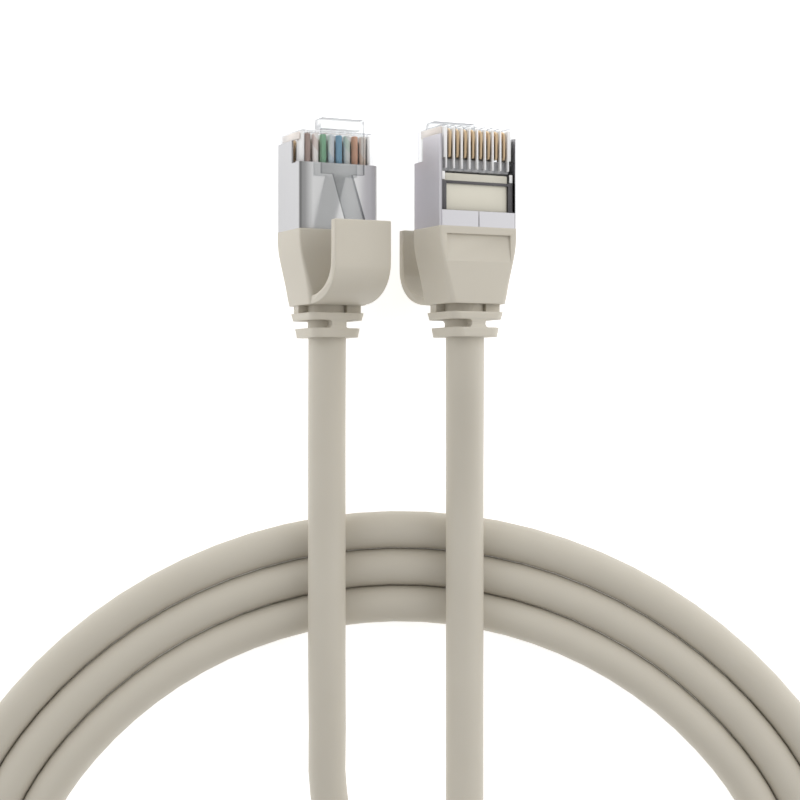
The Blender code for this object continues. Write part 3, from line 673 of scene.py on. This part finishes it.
def makeHood(tag):
    outer = smoothThrough([(y, z, 0.0) for y, z in hood["outer"]], 3)
    inner = smoothThrough([(y, z, 0.0) for y, z in hood["inner"]], 3)
    outline = [(p.x, p.y) for p in outer + inner]
    piece = newPiece("hood_" + tag.upper(), acrossX(outline, hood["halfWidth"]), tag, pvcBoot)
    roundEdges(piece, hood["edge"], 3, 50.0)
    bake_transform(piece)
    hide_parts("hood_" + tag)
    return piece


# metal shield
shield = {"width": 11.7, "thick": 8.0, "sheet": 0.25, "seam": 0.12, "y0": 14.6, "bandY": 16.85,
          "latchY": 23.85, "sideY": 27.0, "notchZ": 1.15, "bend": 0.32, "innerBend": 0.07,
          "edge": 0.04}


def makeShield(tag):
    w = shield["width"] / 2
    t = shield["thick"] / 2
    s = shield["sheet"]
    g = shield["seam"] / 2
    r = shield["bend"]

    def corner(cx, cz, start, radius):
        return [(cx + radius * math.cos(math.radians(start - 18 * k)),
                 cz + radius * math.sin(math.radians(start - 18 * k))) for k in range(6)]

    outer = [(-g, -t)] + corner(-w + r, -t + r, 270, r) + corner(-w + r, t - r, 180, r)
    outer += corner(w - r, t - r, 90, r) + corner(w - r, -t + r, 0, r) + [(g, -t)]
    q = shield["innerBend"]
    iw = w - s - q
    it = t - s - q
    inner = [(-g, -t + s)] + corner(-iw, -it, 270, q) + corner(-iw, it, 180, q)
    inner += corner(iw, it, 90, q) + corner(iw, -it, 0, q) + [(g, -t + s)]
    sheet = alongY(outer + inner[::-1], shield["y0"], shield["sideY"])
    piece = newPiece("shield_" + tag.upper(), sheet, tag, nickel)
    past = shield["sideY"] + 3
    faceCut = addBox(bmesh.new(), (-w + s, w - s), (shield["bandY"], past), (-t - 1, -t + s + 0.3))
    latchCut = addBox(bmesh.new(), (-w - 1, w + 1), (shield["latchY"], past), (shield["notchZ"], t + 1))
    carve(piece, [faceCut, latchCut])
    roundEdges(piece, shield["edge"], 2, 50.0)
    flatten(piece)
    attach(piece, root)
    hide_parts("shield_shell_" + tag)
    return piece


# clear housing
housing = {
    "halfWidth": 5.5, "halfThick": 3.7, "corner": 0.25, "noseY": 28.3, "noseChamfer": (0.12, 0.15),
    "neck": (4.5, 3.1), "neckY": 10.0, "neckEnd": 14.85, "bodyY": 14.87, "pitch": 1.19,
    "slotHalf": 0.3, "slotY": 22.15, "slotDepth": 2.1,
    "slitHalf": 0.22, "slitY": (24.4, 27.3), "slitOverlap": 0.2,
    "pocket": ((-5.0, 5.0), (15.15, 22.05), (-3.42, 3.22)),
    "bore": ((-3.6, 3.6), (9.0, 15.9), (-2.4, 2.2)),
    "window": ((-5.0, 5.0), (16.95, 20.45), (-5.0, -3.0)),
    "bedHalf": 4.69, "bedY": (21.78, 28.02), "bedGap": 0.06,
    "wireZ": 2.6, "wireRadius": 0.46, "edge": 0.05,
}


def pinX(pin):
    # pins 1 to 8 lie evenly to both sides of the middle
    return (4.5 - pin) * housing["pitch"]


def makeHousing(tag):
    w = housing["halfWidth"]
    t = housing["halfThick"]
    nw, nt = housing["neck"]
    inward, back = housing["noseChamfer"]
    body = roundedOutline(2 * w, 2 * t, housing["corner"], 3)
    neck = [(p[0] * nw / w, p[1] * nt / t) for p in body]
    nose = [(p[0] * (w - inward) / w, p[1] * (t - inward) / t) for p in body]
    stations = ((housing["neckY"], neck), (housing["neckEnd"], neck), (housing["bodyY"], body),
                (housing["noseY"] - back, body), (housing["noseY"], nose))
    rings = [[(p[0], y, p[1]) for p in outline] for y, outline in stations]
    piece = newPiece("housing_" + tag.upper(), addLoft(bmesh.new(), rings), tag, clearBody)
    low = housing["wireZ"] - housing["wireRadius"]
    high = housing["wireZ"] + housing["wireRadius"]
    gap = housing["bedGap"]
    floorZ = -t + housing["slotDepth"]
    cutters = [addBox(bmesh.new(), *housing[name]) for name in ("pocket", "bore", "window")]
    slots = bmesh.new()
    slits = bmesh.new()
    for pin in range(1, 9):
        x = pinX(pin)
        half = housing["slotHalf"]
        slit = housing["slitHalf"]
        addBox(slots, (x - half, x + half), (housing["slotY"], 30.0), (-5.0, floorZ))
        addBox(slits, (x - slit, x + slit), housing["slitY"], (floorZ - housing["slitOverlap"], low))
    bed = addBox(bmesh.new(), (-housing["bedHalf"], housing["bedHalf"]), housing["bedY"],
                 (low - gap, high + gap))
    carve(piece, cutters + [slots, slits, bed])
    roundEdges(piece, housing["edge"], 2, 40.0)
    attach(piece, root)
    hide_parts("plug_housing_" + tag)
    return piece


guide = {"size": (9.75, 6.4, 0.3), "drop": 0.1, "y": (15.25, 21.9), "edge": 0.12}


def makeGuide(tag):
    pts = [(p[0], p[1] - guide["drop"]) for p in roundedOutline(*guide["size"], 4)]
    piece = newPiece("wireGuide_" + tag.upper(), alongY(pts, *guide["y"]), tag, creamGuide)
    roundEdges(piece, guide["edge"], 2, 40.0)
    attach(piece, root)
    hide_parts("wire_guide_" + tag)


# moulded parts seen through the housing, and dark sheets of painted shade round the window; boxes are x,
# y, z, and the mirrored ones are given for +x
comb = {
    "wall": ((-5.15, 5.15), (23.9, 28.0), (1.2, 1.45)),
    "ribHalf": 0.12, "ribY": (22.5, 28.0), "ribZ": (-3.62, -3.1),
    "rear": ((-5.15, 5.15), (22.2, 23.8), (-2.9, -1.0)),
    # painted shade: the rim boxes are dark sheets put where the shield's edges round the window lie in
    # shade
    "rimSide": ((4.72, 5.42), (16.95, 20.85), (-3.62, -3.45)),
    "rimTop": ((-4.72, 4.72), (20.45, 20.85), (-3.62, -3.45)),
    "ends": (((4.95, 5.42), (20.95, 22.05), (-3.62, -3.45)), ((4.85, 5.15), (23.9, 28.0), (-3.62, -1.6)),
             ((4.78, 5.1), (23.9, 28.0), (1.2, 3.1))),
    "tint": ((5.2, 5.42), (27.1, 28.1), (-3.2, 2.6)), "tintSide": {"a": -1, "b": 1},
    "edge": 0.03,
}


def addSideBox(bm, box, side):
    x, y, z = box
    return addBox(bm, sorted(side * v for v in x), y, z)


def makeComb(tag):
    # frosted wall and ribs, grey rear bar, dark sheets of painted shade round the window, tint of one
    # narrow side
    pale = addBox(bmesh.new(), *comb["wall"])
    for k in range(9):
        at = pinX(k + 0.5)
        addBox(pale, (at - comb["ribHalf"], at + comb["ribHalf"]), comb["ribY"], comb["ribZ"])
    grey = addBox(bmesh.new(), *comb["rear"])
    dark = bmesh.new()
    for side in (-1, 1):
        addSideBox(dark, comb["rimSide"], side)
    addBox(dark, *comb["rimTop"])
    for side in (-1, 1):
        for box in comb["ends"]:
            addSideBox(pale, box, side)
    peach = addSideBox(bmesh.new(), comb["tint"], comb["tintSide"][tag])
    for name, bm, mat in (("comb", pale, paleComb), ("rearBar", grey, greyBar),
                          ("windowShadeRim", dark, paintedShadeRim), ("tint", peach, peachTint)):
        piece = newPiece("%s_%s" % (name, tag.upper()), bm, tag, mat)
        roundEdges(piece, comb["edge"], 2, 40.0)
        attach(piece, root)


contact = {"halfWidth": 0.17, "edge": 0.05, "outline": (
    (24.0, -3.4), (24.4, -3.5), (27.4, -3.5), (27.85, -3.15), (28.0, -2.6), (28.0, -1.75), (27.2, -1.75),
    (27.2, 1.95), (26.7, 2.07), (26.4, 1.7), (25.4, 1.7), (25.1, 2.07), (24.6, 1.95), (24.6, -1.75),
    (24.0, -1.75))}


def makeContact(tag, pin):
    bm = acrossX(contact["outline"], contact["halfWidth"], pinX(pin))
    piece = newPiece("contact%d_%s" % (pin, tag.upper()), bm, tag, gold)
    roundEdges(piece, contact["edge"], 2, 40.0)
    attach(piece, root)
    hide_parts("contact_%d_%s" % (pin, tag))


# places along a conductor, and the share of its radius there
wireEnds = ((22.1, 1.0), (24.0, 1.0), (26.0, 1.0), (27.7, 1.0), (27.85, 0.93), (27.9, 0.8))


def makeWire(tag, pin):
    r = housing["wireRadius"]
    x = pinX(pin)
    z = housing["wireZ"]
    ring = [(math.cos(math.radians(15 * k)), math.sin(math.radians(15 * k))) for k in range(24)]
    rings = []
    for y, f in wireEnds:
        rings.append([(x + r * f * c, y, z + r * f * s) for c, s in ring])
    piece = newPiece("wire%d_%s" % (pin, tag.upper()), addLoft(bmesh.new(), rings), tag, pairs[pin])
    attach(piece, root)
    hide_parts("wire_%d_%s" % (pin, tag))


# latch
latch = {"halfWidth": 3.15, "outer": 5.6, "thick": 0.75, "y": (22.2, 29.8), "rootY": 28.45,
         "rootZ": 2.7, "chamfer": (0.3, 0.25), "tailHalf": 1.38, "tailOverlap": 0.4, "tailHeel": 0.1,
         "tip": (14.9, 10.15), "edge": 0.12}


def makeLatch(tag):
    out = latch["outer"]
    inn = out - latch["thick"]
    y0, y1 = latch["y"]
    tipY, tipZ = latch["tip"]
    rise = math.atan2(tipZ - out, y0 - tipY)
    dy = latch["thick"] * math.sin(rise)
    dz = latch["thick"] * math.cos(rise)
    back, down = latch["chamfer"]
    rootY = latch["rootY"]
    rootZ = latch["rootZ"]
    wide = [(rootY, rootZ), (y1, rootZ + back), (y1, out - down), (y1 - back, out), (y0, out),
            (y0, inn), (rootY, inn)]
    plate = newPiece("latch_" + tag.upper(), acrossX(wide, latch["halfWidth"]), tag, clearLatch)
    start = y0 + latch["tailOverlap"]
    tail = [(start, out), (y0, out), (tipY, tipZ), (tipY - dy, tipZ - dz), (y0 - latch["tailHeel"], inn),
            (start, inn)]
    tailPiece = newPiece("tail", acrossX(tail, latch["tailHalf"]), tag)
    mod = plate.modifiers.new("join", "BOOLEAN")
    mod.operation = "UNION"
    mod.solver = "EXACT"
    mod.object = tailPiece
    bpy.context.view_layer.update()
    applyModifiers(plate)
    bpy.data.objects.remove(tailPiece, do_unlink=True)
    roundEdges(plate, latch["edge"], 2, 35.0)
    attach(plate, "latch_" + tag)
    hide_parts("latch_" + tag)


for tag in "ab":
    makeBoot(tag)
    makeHood(tag)
    makeShield(tag)
    makeHousing(tag)
    makeGuide(tag)
    makeComb(tag)
    makeLatch(tag)
    for pin in range(1, 9):
        makeContact(tag, pin)
        makeWire(tag, pin)
    sleeve = frame["nodes"]["crimp_sleeve_" + tag].data
    sleeve.materials.clear()
    sleeve.materials.append(nickelInside)
    print("plug", tag)


# floor, world and lights
studio = {
    "floorHalf": 1.2, "floorGrey": 0.9, "floorRough": 0.9, "floorGlow": 0.55,
    "upward": ((0.3, 1.0), (0.98, 0.42)), "depth": (-0.9, 0.1), "strength": (0.62, 1.08),
    "lampSize": 0.5,
    "lamps": (("softKey", 1.0, (0.42, 0.1, 0.36)), ("softSide", 0.42, (-0.34, 0.12, 0.28))),
}


def makeStudio():
    bm = bmesh.new()
    half = studio["floorHalf"]
    corners = ((-half, -half, 0.0), (half, -half, 0.0), (half, half, 0.0), (-half, half, 0.0))
    bm.faces.new([bm.verts.new(corner) for corner in corners])
    mat, tree, shader = startMaterial("paleFloor")
    shader.inputs["Base Color"].default_value = (*[studio["floorGrey"]] * 3, 1.0)
    shader.inputs["Roughness"].default_value = studio["floorRough"]
    shader.inputs["Emission Color"].default_value = (1.0, 1.0, 1.0, 1.0)
    shader.inputs["Emission Strength"].default_value = studio["floorGlow"]
    floor = newPiece("floor", bm, None, mat)
    world = bpy.data.worlds.new("softStudio")
    bpy.context.scene.world = world
    world.use_nodes = True
    tree = world.node_tree
    back = tree.nodes["Background"]
    coords = tree.nodes.new("ShaderNodeTexCoord")
    split = tree.nodes.new("ShaderNodeSeparateXYZ")
    tree.links.new(coords.outputs["Generated"], split.inputs[0])
    ramp = rampNode(tree, studio["upward"])
    tree.links.new(split.outputs["Z"], ramp.inputs["Fac"])
    tree.links.new(ramp.outputs["Color"], back.inputs["Color"])
    near = tree.nodes.new("ShaderNodeMapRange")
    near.inputs["From Min"].default_value = studio["depth"][0]
    near.inputs["From Max"].default_value = studio["depth"][1]
    near.inputs["To Min"].default_value = studio["strength"][0]
    near.inputs["To Max"].default_value = studio["strength"][1]
    tree.links.new(split.outputs["Y"], near.inputs["Value"])
    tree.links.new(near.outputs["Result"], back.inputs["Strength"])
    for name, energy, spot in studio["lamps"]:
        light = bpy.data.lights.new(name, "AREA")
        light.shape = "DISK"
        light.size = studio["lampSize"]
        light.energy = energy
        lamp = bpy.data.objects.new(name, light)
        lamp.location = spot
        lamp.visible_glossy = False
        lamp.rotation_euler = (-lamp.location).to_track_quat("-Z", "Y").to_euler()
        bpy.context.scene.collection.objects.link(lamp)
    scene = bpy.context.scene
    scene.view_settings.view_transform = "Standard"
    scene.view_settings.look = "None"


makeStudio()

bpy.context.view_layer.update()
